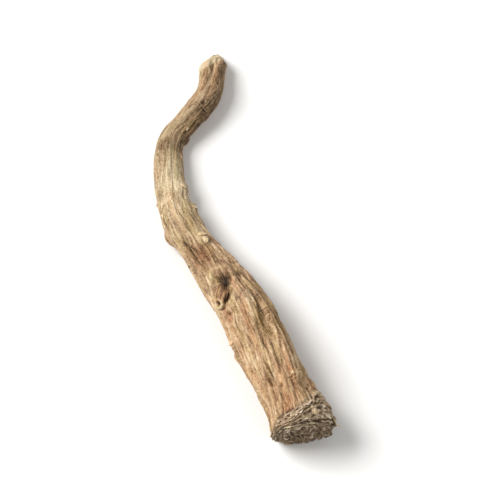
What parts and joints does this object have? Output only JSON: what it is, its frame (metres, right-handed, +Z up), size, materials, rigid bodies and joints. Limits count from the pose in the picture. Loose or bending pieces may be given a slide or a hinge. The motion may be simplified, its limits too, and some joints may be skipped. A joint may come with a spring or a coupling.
{
  "type": "dandelion root",
  "caption": "Dried taproot that lies on its side: an S-bend from a ringed crown with torn leaf bases to a slanting cut at the thin end, with wrinkled bark and the stub of a side root.",
  "frame": {"origin": "on the surface the root lies on, under the middle of its bounding box", "axes": "+Y along the root from the crown to the cut thin end, +Z up from the surface it lies on"},
  "size_m": [0.0423, 0.099, 0.0157],
  "materials": {
    "bark": "dry, matt, wrinkled root bark"
  },
  "bodies": {
    "root": {"dandelion_root": "bark"}
  },
  "joints": []
}
